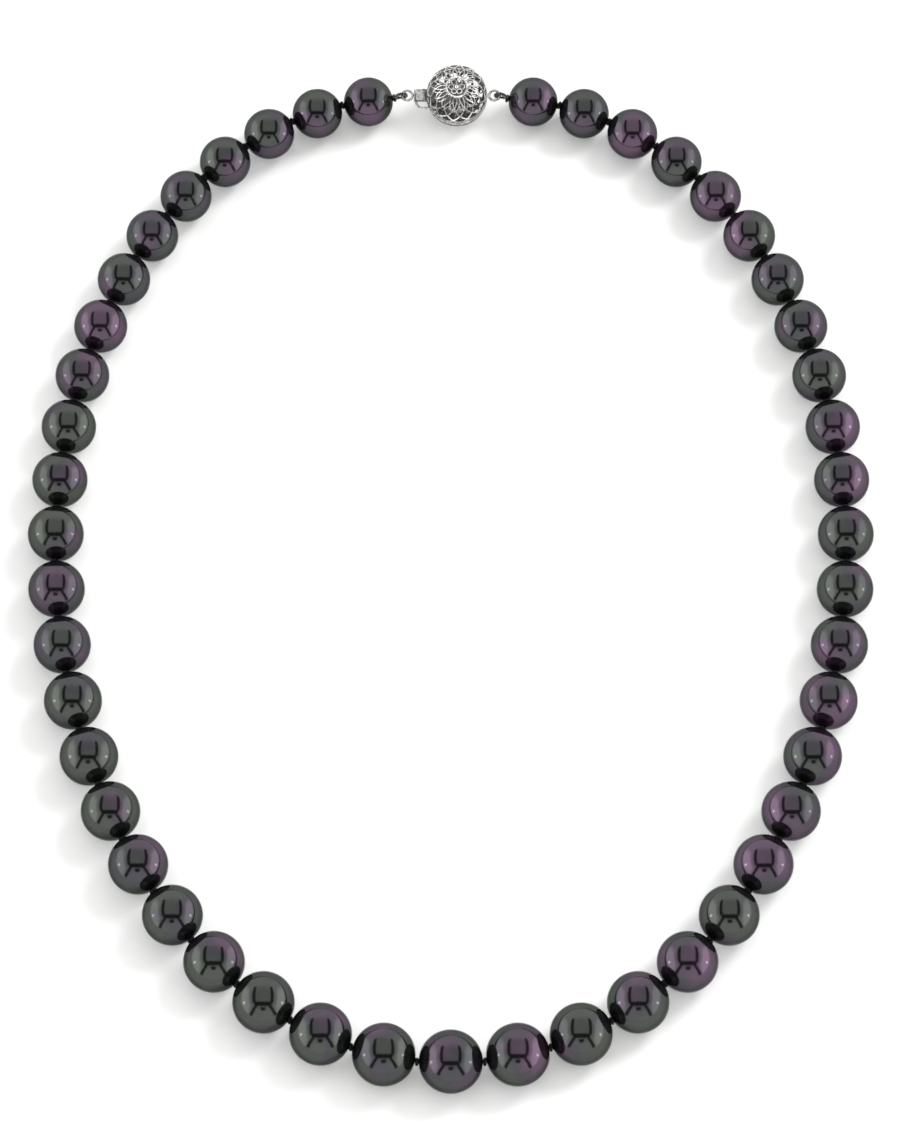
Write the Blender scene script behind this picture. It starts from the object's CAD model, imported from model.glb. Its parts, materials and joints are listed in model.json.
# %% [markdown]
# # A knotted strand of dark pearls
# The necklace has 47 graduated pearls, a black silk knot in every gap, and an openwork ball clasp of white gold.
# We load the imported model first, because every piece has to sit exactly where the working model has it. The
# scene is in metres, so one millimetre gets a name.

# %% Load the frame
import json
import math
import random
from collections import Counter

import bpy
from mathutils import Matrix, Vector


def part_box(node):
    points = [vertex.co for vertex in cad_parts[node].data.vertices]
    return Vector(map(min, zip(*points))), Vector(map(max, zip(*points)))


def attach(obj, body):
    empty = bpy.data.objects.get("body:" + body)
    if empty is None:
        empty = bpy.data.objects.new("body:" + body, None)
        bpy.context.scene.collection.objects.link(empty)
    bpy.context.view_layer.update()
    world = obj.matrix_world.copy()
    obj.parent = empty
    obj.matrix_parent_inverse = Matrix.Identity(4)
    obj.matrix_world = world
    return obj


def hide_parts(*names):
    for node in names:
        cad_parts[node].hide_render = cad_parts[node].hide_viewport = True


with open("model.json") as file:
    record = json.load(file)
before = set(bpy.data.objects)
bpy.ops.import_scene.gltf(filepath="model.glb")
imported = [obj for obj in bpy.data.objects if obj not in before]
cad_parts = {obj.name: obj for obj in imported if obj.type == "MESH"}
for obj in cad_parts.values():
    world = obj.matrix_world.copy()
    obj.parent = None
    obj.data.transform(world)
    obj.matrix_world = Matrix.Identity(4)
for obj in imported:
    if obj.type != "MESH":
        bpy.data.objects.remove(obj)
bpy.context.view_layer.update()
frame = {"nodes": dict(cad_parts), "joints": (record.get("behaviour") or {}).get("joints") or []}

MM = 0.001

# %% [markdown]
# ## Where the knots are
# Each knot is a joint of the working model, so the joints give every knot's place. A pearl's middle lies halfway
# between its two knots and half its own height above the table. Reading these from the frame, and not typing
# them again, keeps the pearls and their silk on the joints that bend them.

# %% Knots and pearls
ARM_PEARLS = 23
KNOT_GAP = 0.54 * MM
knot_of = {joint["child"]: Vector(joint["pos_m"]) for joint in frame["joints"]}


def pearl_name(side, number):
    return f"pearl_{side}_{number:02d}"


def pearl_place(side, number):
    """(middle, radius, direction of the bore away from the centre pearl)"""
    name = pearl_name(side, number)
    low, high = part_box(name)
    radius = (high.z - low.z) / 2
    inner = knot_of[name]
    if number < ARM_PEARLS:
        outer = knot_of[pearl_name(side, number + 1)]
        middle = (inner + outer) / 2
    else:
        middle = (low + high) / 2
    middle = Vector((middle.x, middle.y, radius))
    bore = middle - inner
    bore.z = 0
    return middle, radius, bore.normalized()


centre_radius = (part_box("pearl_centre")[1].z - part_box("pearl_centre")[0].z) / 2
centre_middle = Vector((0, knot_of[pearl_name("right", 1)].y, centre_radius))
places = {"pearl_centre": (centre_middle, centre_radius, Vector((1, 0, 0)))}
for side in ("right", "left"):
    for number in range(1, ARM_PEARLS + 1):
        places[pearl_name(side, number)] = pearl_place(side, number)
print(len(places), "pearls, the largest", round(2 * centre_radius / MM, 2), "mm")

# %% [markdown]
# ## Camera
# A necklace is laid flat and looked at from a little in front of straight above, from far off, so that all the
# pearls look equally round. A long lens at 85 cm does that. The tilt is 23 degrees from the vertical.

# %% Camera
LENS = 176
CAMERA_AWAY = 0.85
CAMERA_LIFT = math.radians(66.96)
AIM = Vector((-0.12, -0.2, 4.4)) * MM

camera_data = bpy.data.cameras.new("long_lens")
camera_data.lens = LENS
camera_data.clip_start = 0.05
camera_data.clip_end = 20
camera = bpy.data.objects.new("camera", camera_data)
bpy.context.scene.collection.objects.link(camera)
towards_camera = Vector((0, -math.cos(CAMERA_LIFT), math.sin(CAMERA_LIFT)))
camera.location = AIM + towards_camera * CAMERA_AWAY
camera.rotation_euler = (math.pi / 2 - CAMERA_LIFT, 0, 0)
bpy.context.scene.camera = camera
print("camera at", [round(v, 3) for v in camera.location])

# %% [markdown]
# ## Helpers for materials
# Colours are written as hex, the way a paint card gives them, and one function turns them to the linear values
# that shaders mix. One more small function adds a node with its settings and its links, so that each material
# below reads as a list of what it is made of.


# %% Colour and node helpers
def linear(hex_colour):
    """sRGB hex to linear RGBA"""
    parts = [int(hex_colour[i : i + 2], 16) / 255 for i in (1, 3, 5)]
    return [c / 12.92 if c <= 0.04045 else ((c + 0.055) / 1.055) ** 2.4 for c in parts] + [1]


def add_node(tree, kind, links=None, stops=(), **settings):
    """A node with its settings. links gives, for an input, another node's output or a plain value, and stops gives
    the places and colours of a ramp."""
    node = tree.nodes.new(kind)
    for name, value in settings.items():
        setattr(node, name, value)
    for name, value in (links or {}).items():
        if isinstance(value, bpy.types.NodeSocket):
            tree.links.new(value, node.inputs[name])
        else:
            node.inputs[name].default_value = value
    while stops and len(node.color_ramp.elements) < len(stops):
        node.color_ramp.elements.new(0.5)
    for index, (place, colour) in enumerate(stops):
        node.color_ramp.elements[index].position = place
        node.color_ramp.elements[index].color = linear(colour)
    return node


def new_material(name):
    """(material, node tree, its Principled shader)"""
    material = bpy.data.materials.new(name)
    material.use_nodes = True
    tree = material.node_tree
    return material, tree, tree.nodes["Principled BSDF"]


# %% [markdown]
# ## Studio
# Black pearls are mirrors, and inside a white tent what they show is the tent: its seams and a stand as dark
# lines, and the lamps outside its walls as brighter patches. A tent far away is the same in every pearl, so
# it is painted on the world by direction, in plain white. Each mark on it is a patch, with one range along
# one measure and one range along another. For marks overhead the measures are places on a flat ceiling one
# unit up: x / z and y / z.

# %% Measures of the tent
TENT_LIGHT = 1.65
ROOF_DROP = 0.55
LAMP_PATCH = 1.3
STRIP_LIGHT = 7
SEAM_DARK = 0.97
HORIZON = 0.02
# A range is (low, high, softness of its edges). These are on the ceiling: sideways, then forward
SEAM_SIDES = ((0.52, 0.81, 0.05), (-0.42, 1.05, 0.15))
SEAM_FRONT = ((-1, 0.69, 0.04), (-0.62, -0.28, 0.05))
STAND = ((-1, 0.2, 0.06), (-1.15, -0.72, 0.08))
# These are by direction: across, then up
LEGS = ((-0.09, 0.09, 0.04), (0.1, 0.8, 0.03))
LAMPS = ((0.74, 1.2, 0.1), (0.08, 0.62, 0.08))
STRIPS = ((-0.15, -0.06, 0.02), (0.16, 0.32, 0.03))
ROOF = (0.72, 2, 0.16)
# The stand's two legs run down and forward in upright planes, which mix these shares of sideways and forward
LEG_SIDEWAYS, LEG_FORWARD = 0.75, 0.66
print("white tent of", TENT_LIGHT, "with lamps of", LAMP_PATCH)

# %% World and directions
world = bpy.data.worlds.new("white_tent")
world.use_nodes = True
bpy.context.scene.world = world
bpy.context.scene.view_settings.view_transform = "Standard"
sky = world.node_tree
background = sky.nodes["Background"]
background.inputs["Color"].default_value = linear("#ffffff")
direction = add_node(sky, "ShaderNodeTexCoord").outputs["Generated"]
dir_x, dir_y, dir_z = add_node(sky, "ShaderNodeSeparateXYZ", {0: direction}).outputs
height = add_node(sky, "ShaderNodeMath", {0: dir_z, 1: HORIZON}, operation="MAXIMUM").outputs[0]
ceiling_x = add_node(sky, "ShaderNodeMath", {0: dir_x, 1: height}, operation="DIVIDE").outputs[0]
ceiling_y = add_node(sky, "ShaderNodeMath", {0: dir_y, 1: height}, operation="DIVIDE").outputs[0]
ceiling_side = add_node(sky, "ShaderNodeMath", {0: ceiling_x}, operation="ABSOLUTE").outputs[0]
sideways = add_node(sky, "ShaderNodeMath", {0: dir_x}, operation="ABSOLUTE").outputs[0]
forward = add_node(sky, "ShaderNodeMath", {0: dir_y, 1: LEG_FORWARD}, operation="MULTIPLY").outputs[0]
leg_mix = {0: sideways, 1: LEG_SIDEWAYS, 2: forward}
leg_side = add_node(sky, "ShaderNodeMath", leg_mix, operation="MULTIPLY_ADD").outputs[0]
print("world nodes", len(sky.nodes))


# %% Patches of the tent
def band(value, limits):
    """1 where value is in its range, and 0 outside, with soft edges"""
    low, high, soft = limits
    edges = []
    for start, end in ((low - soft, low + soft), (high + soft, high - soft)):
        step = {0: value, 1: start, 2: end}
        edges.append(add_node(sky, "ShaderNodeMapRange", step, interpolation_type="SMOOTHSTEP").outputs[0])
    return add_node(sky, "ShaderNodeMath", {0: edges[0], 1: edges[1]}, operation="MULTIPLY").outputs[0]


def patch(first, second, limits):
    """1 where both measures are in their ranges"""
    bands = {0: band(first, limits[0]), 1: band(second, limits[1])}
    return add_node(sky, "ShaderNodeMath", bands, operation="MULTIPLY").outputs[0]


seams = patch(ceiling_side, ceiling_y, SEAM_SIDES)
for first, second, limits in (
    (ceiling_side, ceiling_y, SEAM_FRONT), (ceiling_side, ceiling_y, STAND), (leg_side, dir_z, LEGS)
):
    both_marks = {0: seams, 1: patch(first, second, limits)}
    seams = add_node(sky, "ShaderNodeMath", both_marks, operation="MAXIMUM").outputs[0]
print("world nodes with seams", len(sky.nodes))

# %% Light of the tent
# Lamps and two strips close to the side walls add light, and the roof is a little darker than the walls
tent = TENT_LIGHT
for mark, light in (
    (patch(sideways, dir_z, LAMPS), LAMP_PATCH),
    (patch(dir_y, dir_z, STRIPS), STRIP_LIGHT),
    (band(dir_z, ROOF), -ROOF_DROP),
):
    added = {0: mark, 1: light, 2: tent}
    tent = add_node(sky, "ShaderNodeMath", added, operation="MULTIPLY_ADD").outputs[0]
shade = add_node(sky, "ShaderNodeMath", {0: seams, 1: -SEAM_DARK, 2: 1}, operation="MULTIPLY_ADD").outputs[0]
shaded = add_node(sky, "ShaderNodeMath", {0: tent, 1: shade}, operation="MULTIPLY").outputs[0]
sky.links.new(shaded, background.inputs["Strength"])
print("world nodes in all", len(sky.nodes))

# %% [markdown]
# One large soft lamp behind on the right gives the shadows a side. It is half a metre wide, so they stay soft.
# Its own round reflection is switched off, because the tent's lamps are the ones that the pearls should show.

# %% Soft key lamp
KEY_SIZE = 0.5
KEY_ENERGY = 8
KEY_PLACE = Vector((0.75, 0.55, 0.95))

key_data = bpy.data.lights.new("soft_key", "AREA")
key_data.shape = "DISK"
key_data.size = KEY_SIZE
key_data.energy = KEY_ENERGY
key = bpy.data.objects.new("soft_key", key_data)
bpy.context.scene.collection.objects.link(key)
key.location = KEY_PLACE
key.rotation_euler = (-KEY_PLACE).to_track_quat("-Z", "Y").to_euler()
key.visible_glossy = False
print("key lamp", round(KEY_PLACE.length, 2), "m away")

# %% [markdown]
# The floor is matte white card. Card has almost no gloss, so its shader gets a high roughness and a faint
# unevenness, and it is large enough for the low side views.

# %% Floor
FLOOR_SIZE = 12
CARD_MOTTLE = 9          # patterns are counted per metre, so patches about 11 cm wide

bpy.ops.object.select_all(action="DESELECT")
bpy.ops.mesh.primitive_plane_add(size=FLOOR_SIZE, location=(0, 0, 0))
floor = bpy.context.active_object
floor.name = "floor"
card, tree, shader = new_material("matte_white_card")
coords = add_node(tree, "ShaderNodeTexCoord").outputs["Object"]
mottle = add_node(tree, "ShaderNodeTexNoise", {"Vector": coords, "Scale": CARD_MOTTLE, "Detail": 2})
card_tones = [(0.3, "#f6f6f5"), (0.7, "#f9f9f8")]
tone = add_node(tree, "ShaderNodeValToRGB", {0: mottle.outputs[0]}, card_tones)
tree.links.new(tone.outputs[0], shader.inputs["Base Color"])
shader.inputs["Roughness"].default_value = 0.95
shader.inputs["Specular IOR Level"].default_value = 0.1
floor.data.materials.append(card)
print("floor", FLOOR_SIZE, "m")

# %% [markdown]
# ## Dark nacre
# A black pearl is thousands of thin layers of aragonite over a dark bead. The surface is mirror smooth, and the
# layers tint what it reflects: aubergine on some pearls, green or steel grey on others, with slow changes over
# one pearl. A dielectric can't tint its reflection, so the shader is mostly metallic with a dark colour, which
# sets how much light comes back and in what tint. Slow noise on Object coordinates, with a slope along X, picks
# the tint, so each pearl gets its own because each lies somewhere else.

# %% Nacre tints
PEARL_PATTERN = 95       # cells about 10 mm wide, so that one pearl differs from the next
CLOUD_PATTERN = 260      # slow clouds inside one pearl, about 4 mm wide
PIT_PATTERN = 2800       # growth pits, about a third of a millimetre apart
PIT_DEPTH = 0.02 * MM
PEARL_SHARE, CLOUD_SHARE = 1.7, 0.6
SLOPE_ALONG_X, TINT_START = 1.0, -0.65
NACRE_TINTS = [(0.34, "#3e413d"), (0.46, "#3a3b3e"), (0.58, "#423a44"), (0.74, "#4e3e4e")]

nacre, tree, shader = new_material("dark_nacre")
coords = add_node(tree, "ShaderNodeTexCoord").outputs["Object"]
across = add_node(tree, "ShaderNodeSeparateXYZ", {0: coords}).outputs[0]
pearl_tint = add_node(tree, "ShaderNodeTexNoise", {"Vector": coords, "Scale": PEARL_PATTERN, "Detail": 1})
clouds = {"Vector": coords, "Scale": CLOUD_PATTERN, "Detail": 2, "Distortion": 0.6}
cloud_tint = add_node(tree, "ShaderNodeTexNoise", clouds)
choice = add_node(tree, "ShaderNodeMath", {0: across, 1: SLOPE_ALONG_X, 2: TINT_START}, operation="MULTIPLY_ADD")
for tint, share in ((pearl_tint, PEARL_SHARE), (cloud_tint, CLOUD_SHARE)):
    added = {0: tint.outputs[0], 1: share, 2: choice.outputs[0]}
    choice = add_node(tree, "ShaderNodeMath", added, operation="MULTIPLY_ADD")
body_tint = add_node(tree, "ShaderNodeValToRGB", {0: choice.outputs[0]}, NACRE_TINTS)
tree.links.new(body_tint.outputs[0], shader.inputs["Base Color"])
print("nacre tints", len(NACRE_TINTS))

# %% Nacre gloss
pits = add_node(tree, "ShaderNodeTexNoise", {"Vector": coords, "Scale": PIT_PATTERN, "Detail": 2})
relief = add_node(tree, "ShaderNodeBump", {"Height": pits.outputs[0], "Strength": 0.26, "Distance": PIT_DEPTH})
tree.links.new(relief.outputs[0], shader.inputs["Normal"])
shader.inputs["Metallic"].default_value = 0.92
shader.inputs["Roughness"].default_value = 0.13
shader.inputs["Specular Tint"].default_value = linear("#949a95")
shader.inputs["Coat Weight"].default_value = 0.25
shader.inputs["Coat Roughness"].default_value = 0.03
shader.inputs["Coat IOR"].default_value = 1.53
print("made", nacre.name)

# %% [markdown]
# ## Black silk
# The thread is twisted silk, dyed black. Silk has a weak sheen along its fibres. The turns of a knot and the two
# strands of the thread are real geometry, and the shader adds only the fuzz of the fibres.

# %% Silk material
# Fibres are 0.01 mm thick, so they are drawn ten times as coarse to show at all
FIBRE_PATTERN = 9000
FIBRE_DEPTH = 0.04 * MM
SILK_TONES = [(0.35, "#050506"), (0.7, "#131214")]

silk, tree, shader = new_material("black_twisted_silk")
coords = add_node(tree, "ShaderNodeTexCoord").outputs["Object"]
fibres = add_node(tree, "ShaderNodeTexNoise", {"Vector": coords, "Scale": FIBRE_PATTERN, "Detail": 3})
tone = add_node(tree, "ShaderNodeValToRGB", {0: fibres.outputs[0]}, SILK_TONES)
fuzz = {"Height": fibres.outputs[0], "Strength": 0.5, "Distance": FIBRE_DEPTH}
relief = add_node(tree, "ShaderNodeBump", fuzz)
tree.links.new(tone.outputs[0], shader.inputs["Base Color"])
tree.links.new(relief.outputs[0], shader.inputs["Normal"])
shader.inputs["Roughness"].default_value = 0.72
shader.inputs["Sheen Weight"].default_value = 0.03
shader.inputs["Specular IOR Level"].default_value = 0.25
shader.inputs["Sheen Roughness"].default_value = 0.5
print("made", silk.name)

# %% [markdown]
# ## White gold
# The clasp is white gold wire with a rhodium flash: a bright grey metal, polished by tumbling, so its
# gloss changes a little from place to place. The metal keeps the default IOR, because its colour already sets
# its reflection.

# %% White gold materials
WEAR_PATTERN = 2600


def wire_metal(name, light, dark, roughness, relief_depth):
    """A metal whose tone and gloss vary over about 0.4 mm"""
    material, tree, shader = new_material(name)
    coords = add_node(tree, "ShaderNodeTexCoord").outputs["Object"]
    wear = add_node(tree, "ShaderNodeTexNoise", {"Vector": coords, "Scale": WEAR_PATTERN, "Detail": 3})
    tone = add_node(tree, "ShaderNodeValToRGB", {0: wear.outputs[0]}, [(0.36, dark), (0.6, light)])
    gloss = add_node(tree, "ShaderNodeMapRange", {0: wear.outputs[0], 3: roughness * 1.4, 4: roughness * 0.7})
    dents = {"Height": wear.outputs[0], "Strength": 0.3, "Distance": relief_depth}
    relief = add_node(tree, "ShaderNodeBump", dents)
    tree.links.new(tone.outputs[0], shader.inputs["Base Color"])
    tree.links.new(gloss.outputs[0], shader.inputs["Roughness"])
    tree.links.new(relief.outputs[0], shader.inputs["Normal"])
    shader.inputs["Metallic"].default_value = 1
    return material


white_gold = wire_metal("rhodium_flashed_white_gold", "#c3c2c0", "#969593", 0.16, 0.03 * MM)
polished_gold = wire_metal("polished_white_gold", "#eae9e7", "#c6c5c3", 0.2, 0.02 * MM)
inner_gold = wire_metal("unpolished_white_gold", "#7e7d7c", "#545352", 0.38, 0.04 * MM)
gimp_silver = wire_metal("silver_gimp_wire", "#a9a7a3", "#5f5d59", 0.25, 0.02 * MM)
print("made", white_gold.name, polished_gold.name, inner_gold.name, gimp_silver.name)

# %% [markdown]
# ## Helpers for modelling
# Three habits repeat. Everything is deselected before a new shape is added. A wire is a curve with a round
# bevel, converted to a mesh when its path is right. A finished piece is made of the shapes joined together, with
# its place in its mesh, riding on its body.


# %% Selecting and placing
SMOOTH_BELOW = math.radians(38)


def deselect():
    if bpy.context.object and bpy.context.object.mode != "OBJECT":
        bpy.ops.object.mode_set(mode="OBJECT")
    bpy.ops.object.select_all(action="DESELECT")


def only(obj):
    """Select obj alone and make it active"""
    deselect()
    obj.select_set(True)
    bpy.context.view_layer.objects.active = obj


def settle(obj):
    """Put obj's place, turn and size into its mesh"""
    bpy.context.view_layer.update()
    obj.data.transform(obj.matrix_world)
    obj.matrix_world = Matrix.Identity(4)
    obj.data.update()
    return obj


def wire(path, thickness, closed=True, sides=8):
    """A mesh tube of that thickness along a list of points"""
    curve = bpy.data.curves.new("wire", "CURVE")
    curve.dimensions = "3D"
    curve.bevel_depth = thickness / 2
    curve.bevel_resolution = sides // 2 - 2
    curve.use_fill_caps = not closed
    line = curve.splines.new("POLY")
    line.points.add(len(path) - 1)
    line.use_cyclic_u = closed
    for point, place in zip(line.points, path):
        point.co = (*place, 1)
    tube = bpy.data.objects.new("wire", curve)
    bpy.context.scene.collection.objects.link(tube)
    only(tube)
    bpy.ops.object.convert(target="MESH")
    return bpy.context.active_object


def joined(name, shapes):
    """One object made of several shapes"""
    deselect()
    for shape in shapes:
        shape.select_set(True)
    bpy.context.view_layer.objects.active = shapes[0]
    if len(shapes) > 1:
        bpy.ops.object.join()
    whole = bpy.context.active_object
    whole.name = name
    whole.data.name = name
    return whole


def finish_piece(piece, body, material, nodes=()):
    """Give a piece its material, its body and the CAD nodes that it stands for"""
    piece.data.materials.clear()
    piece.data.materials.append(material)
    only(piece)
    bpy.ops.object.shade_smooth_by_angle(angle=SMOOTH_BELOW)
    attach(piece, body)
    if nodes:
        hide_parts(*nodes)
    return piece


def copy_of(master, name, placing):
    """A copy with its own mesh, moved by a matrix"""
    mesh = master.data.copy()
    mesh.transform(placing)
    mesh.name = name
    copy = bpy.data.objects.new(name, mesh)
    bpy.context.scene.collection.objects.link(copy)
    return copy


# %% [markdown]
# ## Pearls
# A cultured pearl is round to the eye and drilled right through, and each mouth of the hole is dished where it
# seats a knot. One pearl of radius 1 is modelled and then copied at each pearl's size. A sphere whose poles lie on
# the bore is the right start: a ring of its faces is the edge of the dish, so the pole caps come off, the open
# edges are extruded inwards to make the dishes, and a bridge joins them into the bore.

# %% One drilled pearl
RING_STEP = math.radians(4)
DISH_RING = 2 * RING_STEP
# Radius of each step of the dish and its distance from the middle, as shares of the pearl's radius
DISH_STEPS = [(0.128, 0.976), (0.112, 0.956)]
# How near a point has to be to a ring to belong to it
NEAR = 0.004

deselect()
bpy.ops.mesh.primitive_uv_sphere_add(segments=80, ring_count=45, radius=1, rotation=(0, math.pi / 2, 0))
pearl = settle(bpy.context.active_object)


def select_points(mesh, wanted):
    """In object mode, select the points that pass a test, with the edges and faces between them"""
    for point in mesh.vertices:
        point.select = wanted(point.co)
    for edge in mesh.edges:
        edge.select = all(mesh.vertices[i].select for i in edge.vertices)
    for face in mesh.polygons:
        face.select = all(mesh.vertices[i].select for i in face.vertices)


select_points(pearl.data, lambda co: math.hypot(co.y, co.z) < math.sin(DISH_RING) - 0.02)
bpy.ops.object.mode_set(mode="EDIT")
bpy.ops.mesh.delete(type="VERT")
bpy.ops.object.mode_set(mode="OBJECT")
for end in (-1, 1):
    radius_now, away_now = math.sin(DISH_RING), math.cos(DISH_RING)
    for radius_next, away_next in DISH_STEPS:
        select_points(
            pearl.data,
            lambda co: abs(math.hypot(co.y, co.z) - radius_now) < NEAR and abs(co.x * end - away_now) < NEAR,
        )
        bpy.ops.object.mode_set(mode="EDIT")
        bpy.ops.mesh.extrude_edges_move()
        share = radius_next / radius_now
        bpy.ops.transform.resize(value=(1, share, share), center_override=(0, 0, 0))
        bpy.ops.transform.translate(value=(end * (away_next - away_now), 0, 0))
        bpy.ops.object.mode_set(mode="OBJECT")
        radius_now, away_now = radius_next, away_next
bore_radius = DISH_STEPS[-1][0]
select_points(pearl.data, lambda co: abs(math.hypot(co.y, co.z) - bore_radius) < NEAR)
bpy.ops.object.mode_set(mode="EDIT")
bpy.ops.mesh.bridge_edge_loops()
bpy.ops.mesh.select_all(action="SELECT")
bpy.ops.mesh.remove_doubles(threshold=1e-5)
bpy.ops.mesh.normals_make_consistent(inside=False)
bpy.ops.object.mode_set(mode="OBJECT")
edge_use = Counter(edge for face in pearl.data.polygons for edge in face.edge_keys)
open_edges = sum(1 for uses in edge_use.values() if uses != 2)
print("pearl faces", len(pearl.data.polygons), "open edges", open_edges)

# %% [markdown]
# Each copy is turned about its bore by its own angle, so that no two show the same side, and then scaled, turned
# to its heading and moved to its place.

# %% String of pearls
chance = random.Random(47)


def facing(bore):
    """Turn about the vertical that takes +X to this direction"""
    return Matrix.Rotation(math.atan2(bore.y, bore.x), 4, "Z")


for name, (middle, radius, bore) in places.items():
    spin = Matrix.Rotation(chance.uniform(0, 2 * math.pi), 4, "X")
    placing = Matrix.Translation(middle) @ facing(bore) @ Matrix.Scale(radius, 4) @ spin
    finish_piece(copy_of(pearl, name.replace("pearl", "nacre"), placing), name, nacre, [name])
bpy.data.objects.remove(pearl)
print(len(places), "pearls strung")

# %% [markdown]
# ## Silk knots
# A stringer ties an overhand knot in the doubled thread and pulls it hard against the pearl. An overhand knot is
# a trefoil, so the cord follows the trefoil's formula, pulled flat enough to fill the gap. The thread itself
# runs through the pearl and is a plain twisted pair.

# %% One knot and its thread
KNOT_CORD = 0.42 * MM
KNOT_REACH = 0.235 * MM
KNOT_FLAT = 0.1 * MM
KNOT_POINTS = 48
THREAD = 0.8 * MM
THREAD_TURNS, THREAD_STEPS = 5, 30
# How far the thread stands out of a pearl, and how far inside it starts, so that the knot there can bend
THREAD_OUT, THREAD_IN = 0.1 * MM, 0.4 * MM


def knot_path():
    path = []
    for i in range(KNOT_POINTS):
        t = 2 * math.pi * i / KNOT_POINTS
        lobe = 1.1 + math.cos(3 * t)
        across_gap = KNOT_FLAT * 0.8 * math.sin(3 * t)
        path.append(Vector((across_gap, KNOT_REACH * lobe * math.cos(2 * t), KNOT_REACH * lobe * math.sin(2 * t))))
    return path


knot_model = wire(knot_path(), KNOT_CORD, sides=8)
print("knot size in mm", [round(v / MM, 2) for v in knot_model.dimensions])


def twisted_pair(start, end, thickness, turns, steps):
    """Two strands wound round the line from start to end"""
    axis = end - start
    side_a = axis.cross(Vector((0.3, 0.2, 1))).normalized()
    side_b = axis.normalized().cross(side_a)
    strands = []
    for half in (0, math.pi):
        path = []
        for i in range(steps + 1):
            t = i / steps
            turn = 2 * math.pi * turns * t + half
            path.append(start + axis * t + (side_a * math.cos(turn) + side_b * math.sin(turn)) * thickness / 4)
        strands.append(wire(path, thickness / 2, closed=False, sides=6))
    return strands


def silk_of(name, middle, radius, bore, knot_ends, thread_from):
    """The knots at a pearl's ends and the thread through it"""
    shapes = []
    for end in knot_ends:
        place = middle + bore * end * (radius + KNOT_GAP / 2)
        turn = Matrix.Rotation(chance.uniform(0, 2 * math.pi), 4, "X")
        shapes.append(copy_of(knot_model, "knot", Matrix.Translation(place) @ facing(bore) @ turn))
    thread_to = middle + bore * (radius + THREAD_OUT)
    shapes += twisted_pair(thread_from, thread_to, THREAD, THREAD_TURNS, THREAD_STEPS)
    return joined(name, shapes)


for name, (middle, radius, bore) in places.items():
    label = name.replace("pearl", "silk")
    if name == "pearl_centre":
        piece = silk_of(label, middle, radius, bore, (-1, 1), middle - bore * (radius + THREAD_OUT))
    else:
        start = middle - bore * (radius - THREAD_IN)
        piece = silk_of(label, middle, radius, bore, (1,), start)
    finish_piece(piece, name, silk)
bpy.data.objects.remove(knot_model)
print("silk on", len(places), "pearls")

# %% [markdown]
# ## Where the clasp is
# The clasp is rolled about its own length, so its top pole leans towards the wearer. The end ring's box gives the
# roll, and the two link joints give its height and its line. A matrix takes points from the clasp's own axes to
# their place.

# %% Clasp axes
link_right = knot_of["clasp_ball"]
link_left = knot_of["clasp_tongue"]
RING_WIRE = 0.46 * MM
RING_R = 0.82 * MM
GIMP_R = 0.65 * MM
GIMP_WIRE = 0.62 * MM
CLASP_ROLL = math.radians(10.6)
BALL_R = 4.95 * MM
rosette_low, rosette_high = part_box("ball_rosettes")
ball_middle = Vector(((rosette_low.x + rosette_high.x) / 2, link_right.y, link_right.z))
clasp = Matrix.Translation(ball_middle) @ Matrix.Rotation(CLASP_ROLL, 4, "X")
ring_right_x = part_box("ball_ring")[0].x + RING_R + RING_WIRE / 2 - ball_middle.x
ring_left_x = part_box("tongue_ring")[0].x + RING_R + RING_WIRE / 2 - ball_middle.x
print("ball middle in mm", [round(v / MM, 2) for v in ball_middle])

# %% [markdown]
# ## Openwork halves
# Each half of the ball is drawn wire, bent into long petals that start at the rosette, sweep out near the seam and
# come back several petals further round. Laid over each other, they cross and leave small pointed gaps. A petal
# is a curve on the ball: its distance from the pole rises and falls once while it goes round. One petal is
# swept, then copied round the pole, and a shorter row fills in near the rosette.

# %% Petal wires
PETALS = 13
PETAL_WIRE = 0.2 * MM
FILL_WIRE = 0.15 * MM
# The lower half is seen through the gaps of the upper one. Wire this much heavier makes a grey ground there
HEAVY = 2.3
# How far from the pole a petal reaches, and how far round the pole it goes
PETAL_OUT, PETAL_SPREAD = math.radians(77), math.radians(104)
FILL_OUT, FILL_SPREAD = math.radians(50), math.radians(44)
FILL_LIFT = 0.12 * MM
# Two ring wires tie the petals' ends, each at an angle from the pole and a little under the outline
TIE_ANGLE, TIE_LIFT = math.radians(78), 0.05 * MM
EDGE_ANGLE, EDGE_LIFT = math.radians(84), 0.02 * MM
ROSETTE_R = 1.85 * MM
ROSETTE_ANGLE = math.asin(ROSETTE_R / BALL_R)


def on_ball(from_pole, round_pole, radius):
    """A point on a ball about the clasp's middle"""
    flat = radius * math.sin(from_pole)
    return Vector((flat * math.cos(round_pole), flat * math.sin(round_pole), radius * math.cos(from_pole)))


def petal(out_to, spread, thickness, lift, steps=40):
    """One looping wire, from the rosette out to an angle from the pole and back, spread round the pole"""
    radius = BALL_R - thickness / 2 - lift
    path = []
    for i in range(steps + 1):
        t = i / steps
        rise = math.sin(math.pi * t) ** 0.8
        path.append(on_ball(ROSETTE_ANGLE + (out_to - ROSETTE_ANGLE) * rise, spread * (t - 0.5), radius))
    return wire(path, thickness, closed=False, sides=6)


def petal_row(count, out_to, spread, thickness, lift, turn=0.0):
    """A row of equal petals round the pole"""
    first = petal(out_to, spread, thickness, lift)
    turns = [Matrix.Rotation(turn + 2 * math.pi * i / count, 4, "Z") for i in range(count)]
    row = [copy_of(first, "petal", placing) for placing in turns]
    bpy.data.objects.remove(first)
    return row


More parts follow.
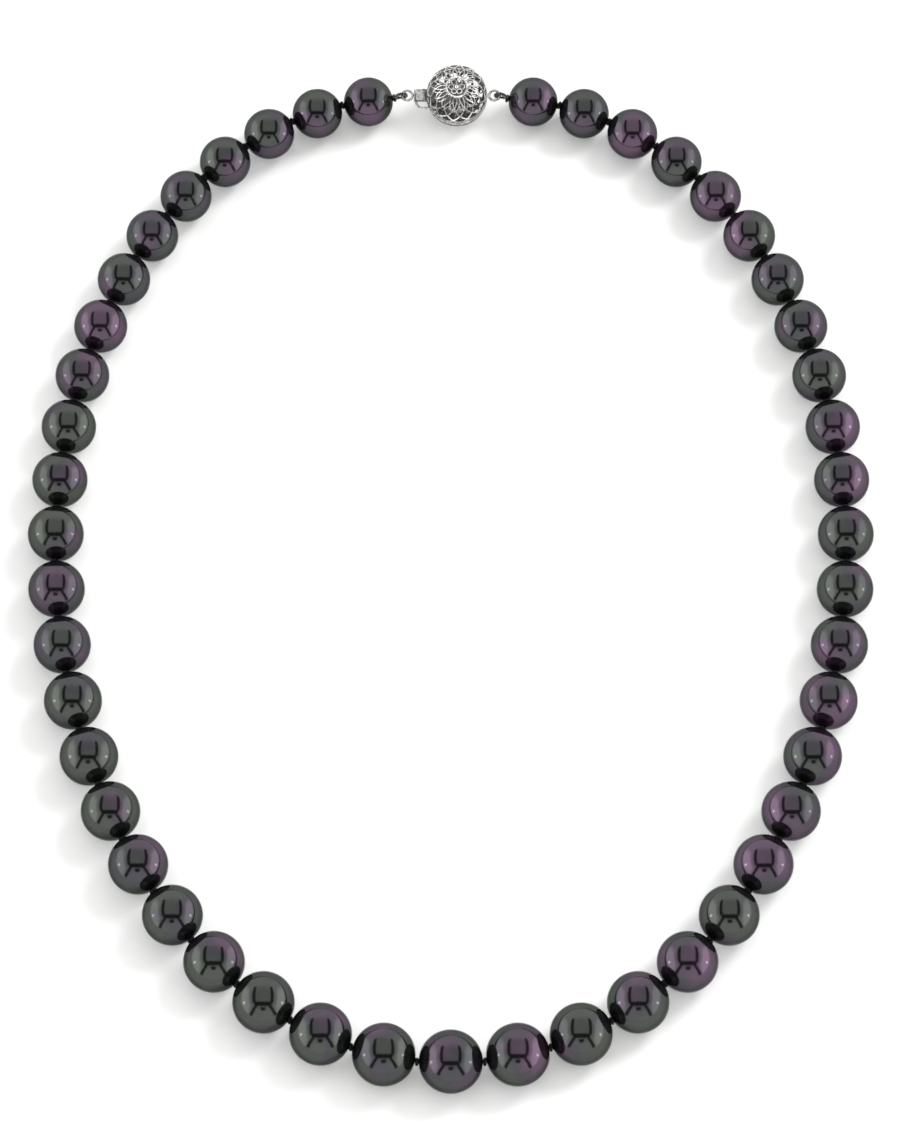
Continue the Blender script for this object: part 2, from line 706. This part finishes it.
def ring_at(from_pole, thickness, lift=0.0, gap=None, steps=96):
    """A round wire that far from the pole; gap is (from, to) in angle, left open"""
    radius = BALL_R - thickness / 2 - lift
    if gap is None:
        path = [on_ball(from_pole, 2 * math.pi * i / steps, radius) for i in range(steps)]
        return wire(path, thickness, sides=8)
    start, sweep = gap[1], 2 * math.pi - (gap[1] - gap[0])
    path = [on_ball(from_pole, start + sweep * i / steps, radius) for i in range(steps + 1)]
    return wire(path, thickness, closed=False, sides=8)


# The mouth for the tongue and the hole for the safety hook break the lowest ring
MOUTH_GAP = (math.radians(180 - 21), math.radians(180 + 31))


def openwork(name, flip, heavier):
    """One half: two rows of petals and the two rings, flipped over for the lower half"""
    rows = petal_row(PETALS, PETAL_OUT, PETAL_SPREAD, PETAL_WIRE * heavier, 0.0)
    rows += petal_row(PETALS, FILL_OUT, FILL_SPREAD, FILL_WIRE * heavier, FILL_LIFT, math.pi / PETALS)
    rows.append(ring_at(TIE_ANGLE, PETAL_WIRE, TIE_LIFT))
    rows.append(ring_at(EDGE_ANGLE, PETAL_WIRE, EDGE_LIFT, MOUTH_GAP))
    half = joined(name, rows)
    if flip:
        half.data.transform(Matrix.Scale(-1, 4, (0, 0, 1)))
        half.data.flip_normals()
    half.data.transform(clasp)
    return half


upper = openwork("upper_openwork", False, 1)
lower = openwork("lower_openwork", True, HEAVY)
finish_piece(upper, "clasp_ball", white_gold, ["ball_upper_shell"])
finish_piece(lower, "clasp_ball", inner_gold, ["ball_lower_shell"])
print("openwork triangles", sum(len(p.vertices) - 2 for p in upper.data.polygons))

# %% [markdown]
# ## Seam
# Where the halves meet, a rope of two wires twisted together hides the solder. The rope is open at the mouth.
# Each strand is a coil wound round the seam's own circle.

# %% Twisted seam wire
ROPE_STRAND = 0.2 * MM
ROPE_TURNS = 44


def rope(ring_radius, height, strand, turns, start, sweep):
    """Two strands twisted along an arc round the clasp's upright axis, inside the ball's outline"""
    steps = turns * 7
    closed = sweep >= 2 * math.pi
    strands = []
    for half in (0, math.pi):
        path = []
        for i in range(steps if closed else steps + 1):
            t = i / steps
            turn = 2 * math.pi * turns * t + half
            out = min(ring_radius, BALL_R - strand) + math.cos(turn) * strand / 2
            up = height + math.sin(turn) * strand / 2
            round_pole = start + sweep * t
            path.append(Vector((out * math.cos(round_pole), out * math.sin(round_pole), up)))
        strands.append(wire(path, strand, closed=closed, sides=6))
    return strands


sweep = 2 * math.pi - (MOUTH_GAP[1] - MOUTH_GAP[0])
seam = joined("twisted_seam", rope(BALL_R, 0, ROPE_STRAND, ROPE_TURNS, MOUTH_GAP[1], sweep))
seam.data.transform(clasp)
finish_piece(seam, "clasp_ball", white_gold, ["ball_band"])
print("seam faces", len(seam.data.polygons))

# %% [markdown]
# ## Rosettes
# The rosette on each pole is a twisted rim with a ring of small wire curls round a bead. The curls are flat loops,
# so a torus is their start, and the bead is a ball that is pressed a little flat.

# %% Rosettes
CURLS = 6
CURL_R = 0.4 * MM
CURL_WIRE = 0.17 * MM
CURL_AWAY = 0.86 * MM
CURL_TILT = 0.25
BEAD_R = 0.34 * MM
BEAD_FLAT = 0.85
RIM_WIRE = 0.2 * MM
RIM_TURNS = 22


def under_skin(from_pole, half):
    """Height at which something of this half thickness just reaches the ball's outline"""
    return math.sqrt((BALL_R - half) ** 2 - from_pole**2)


def rosette_shapes():
    """The twisted rim, its curls and the bead, about the upper pole"""
    rim_r = ROSETTE_R - RIM_WIRE
    shapes = rope(rim_r, under_skin(rim_r, RIM_WIRE), RIM_WIRE, RIM_TURNS, 0, 2 * math.pi)
    for i in range(CURLS):
        around = 2 * math.pi * i / CURLS
        place = Vector((CURL_AWAY * math.cos(around), CURL_AWAY * math.sin(around), 0))
        place.z = under_skin(CURL_AWAY + CURL_R / 2, CURL_WIRE)
        deselect()
        bpy.ops.mesh.primitive_torus_add(
            major_radius=CURL_R, minor_radius=CURL_WIRE / 2, major_segments=24, minor_segments=6, location=place,
            rotation=(CURL_TILT * math.sin(around), -CURL_TILT * math.cos(around), 0),
        )
        shapes.append(settle(bpy.context.active_object))
    deselect()
    bpy.ops.mesh.primitive_uv_sphere_add(
        segments=20, ring_count=12, radius=BEAD_R, location=(0, 0, under_skin(0, BEAD_R))
    )
    bead = bpy.context.active_object
    bead.scale = (1, 1, BEAD_FLAT)
    shapes.append(settle(bead))
    return shapes


both = []
for flip in (False, True):
    one = joined("rosette", rosette_shapes())
    if flip:
        one.data.transform(Matrix.Rotation(math.pi, 4, "X"))
    both.append(one)
rosettes = joined("pole_rosettes", both)
rosettes.data.transform(clasp)
finish_piece(rosettes, "clasp_ball", polished_gold, ["ball_rosettes"])
print("rosettes with", 2 * CURLS, "curls")

# %% [markdown]
# ## Rings
# Each end ring is round wire bent to a loop and soldered shut. A torus gives the loop, and a small fillet of
# solder, a ball pressed flat against the clasp, holds it.

# %% End rings
FILLET_R = RING_WIRE * 0.62
FILLET_SHAPE = (0.45, 1.25, 0.9)


def end_ring(name, ring_x, solder_x, body, node):
    deselect()
    bpy.ops.mesh.primitive_torus_add(
        major_radius=RING_R, minor_radius=RING_WIRE / 2, major_segments=64, minor_segments=20,
        location=(ring_x, 0, 0),
    )
    shapes = [settle(bpy.context.active_object)]
    deselect()
    bpy.ops.mesh.primitive_uv_sphere_add(segments=24, ring_count=14, radius=FILLET_R, location=(solder_x, 0, 0))
    fillet = bpy.context.active_object
    fillet.scale = FILLET_SHAPE
    shapes.append(settle(fillet))
    ring = joined(name, shapes)
    ring.data.transform(clasp)
    return finish_piece(ring, body, white_gold, [node])


end_ring("far_ring", ring_right_x, ring_right_x - RING_R, "clasp_ball", "ball_ring")
end_ring("near_ring", ring_left_x, ring_left_x + RING_R, "clasp_tongue", "tongue_ring")
print("rings", round(2 * RING_R / MM + RING_WIRE / MM, 2), "mm across")

# %% [markdown]
# ## Gimp
# Gimp, or French wire, is a tube of finely coiled wire that guards the silk where it goes round a ring. Its coil
# shows as bright turns with dark silk between them. The path is a drop: round the far side of the ring's wire and
# straight into the pearl. The coil is wound along that path, and a thin black core is the silk in it.

# %% Gimp coils
COIL_WIRE = 0.13 * MM
COIL_PITCH = 0.34 * MM
COIL_STEPS = 9
CORE_WIRE = GIMP_WIRE - 2.2 * COIL_WIRE
# The core's path needs fewer points than the coil's
CORE_SKIP = 4
MOUTH_OUT = 0.02 * MM


def drop_path(link, mouth, spacing):
    """Points of the drop, in order, from the pearl's mouth round the ring's wire and back"""
    middle = link + Vector((math.copysign(GIMP_R, mouth.x - link.x), 0, 0))
    reach = mouth - middle
    far = reach.length
    along = reach.normalized()
    up = Vector((0, 1, 0)).cross(along)
    swing = math.acos(GIMP_R / far)
    leg = math.sqrt(far * far - GIMP_R * GIMP_R)
    arc = GIMP_R * (2 * math.pi - 2 * swing)
    total = 2 * leg + arc
    points = []
    for i in range(int(total / spacing) + 1):
        s = i * spacing
        if s < leg or s > leg + arc:
            side = 1 if s < leg else -1
            share = (s if s < leg else total - s) / leg
            touch = middle + (along * math.cos(swing) + up * side * math.sin(swing)) * GIMP_R
            points.append(mouth.lerp(touch, share))
        else:
            a = swing + (s - leg) / GIMP_R
            points.append(middle + (along * math.cos(a) + up * math.sin(a)) * GIMP_R)
    return points


def coil_along(points, coil_radius, pitch):
    """A helix round a path that lies in an upright plane"""
    path = []
    run = 0
    for i, place in enumerate(points):
        ahead = points[min(i + 1, len(points) - 1)]
        behind = points[max(i - 1, 0)]
        tangent = (ahead - behind).normalized()
        side = Vector((0, 1, 0))
        across = tangent.cross(side)
        turn = 2 * math.pi * run / pitch
        path.append(place + (side * math.cos(turn) + across * math.sin(turn)) * coil_radius)
        run += (ahead - place).length
    return path


for side, link in (("right", link_right), ("left", link_left)):
    last = pearl_name(side, ARM_PEARLS)
    middle, radius, bore = places[last]
    mouth = middle + bore * (radius + MOUTH_OUT)
    mouth.y = link.y
    fine = drop_path(link, mouth, COIL_PITCH / COIL_STEPS)
    coil = wire(coil_along(fine, (GIMP_WIRE - COIL_WIRE) / 2, COIL_PITCH), COIL_WIRE, closed=False, sides=6)
    coil.name = f"gimp_coil_{side}"
    finish_piece(coil, last, gimp_silver, [f"gimp_{side}"])
    core = wire(fine[::CORE_SKIP], CORE_WIRE, closed=False, sides=8)
    core.name = f"gimp_core_{side}"
    finish_piece(core, last, silk)
    print("gimp", side, "turns", round(len(fine) / COIL_STEPS))

# %% [markdown]
# ## Tongue, hook and catch
# The flat pieces of the clasp are stamped sheet with edges rounded by polishing. Their outlines are right in the
# working model, so each is copied from it, its loose triangles are merged into clean faces, and a bevel rounds
# the edges. A bevel on every sharp edge is what polishing does to sheet metal.

# %% Stamped pieces
MERGE_WITHIN = 0.002 * MM
FLAT_WITHIN = math.radians(1)
SHARP_ABOVE = math.radians(40)


def polished_copy(node, name, width):
    """A clean copy of a CAD node with its sharp edges rounded"""
    source = frame["nodes"][node]
    copy = bpy.data.objects.new(name, source.data.copy())
    bpy.context.scene.collection.objects.link(copy)
    only(copy)
    bpy.ops.object.mode_set(mode="EDIT")
    bpy.ops.mesh.select_all(action="SELECT")
    bpy.ops.mesh.remove_doubles(threshold=MERGE_WITHIN)
    bpy.ops.mesh.dissolve_limited(angle_limit=FLAT_WITHIN)
    bpy.ops.mesh.normals_make_consistent(inside=False)
    bpy.ops.object.mode_set(mode="OBJECT")
    rounding = copy.modifiers.new("rounding", "BEVEL")
    rounding.width = width
    rounding.segments = 3
    rounding.limit_method = "ANGLE"
    rounding.angle_limit = SHARP_ABOVE
    bpy.ops.object.modifier_apply(modifier="rounding")
    return copy


stamped = (
    ("tongue_base", "base_leaf", "clasp_tongue", white_gold, 0.04 * MM),
    ("tongue_spring", "spring_leaf", "tongue_leaf", white_gold, 0.035 * MM),
    ("catch_sleeve", "mouth_and_sleeve", "clasp_ball", inner_gold, 0.03 * MM),
)
for node, name, body, metal, width in stamped:
    piece = polished_copy(node, name, width)
    finish_piece(piece, body, metal, [node])
    print(name, "faces", len(piece.data.polygons))

# %% [markdown]
# The safety hook and the cross bar are plain round wire, and the working model already has them as true round
# shapes. They stay, and get the metal.

# %% Hook and bar
for node, metal in (("tongue_hook", white_gold), ("catch_bar", inner_gold)):
    kept = frame["nodes"][node]
    kept.data.materials.clear()
    kept.data.materials.append(metal)
    print(node, "keeps its shape")
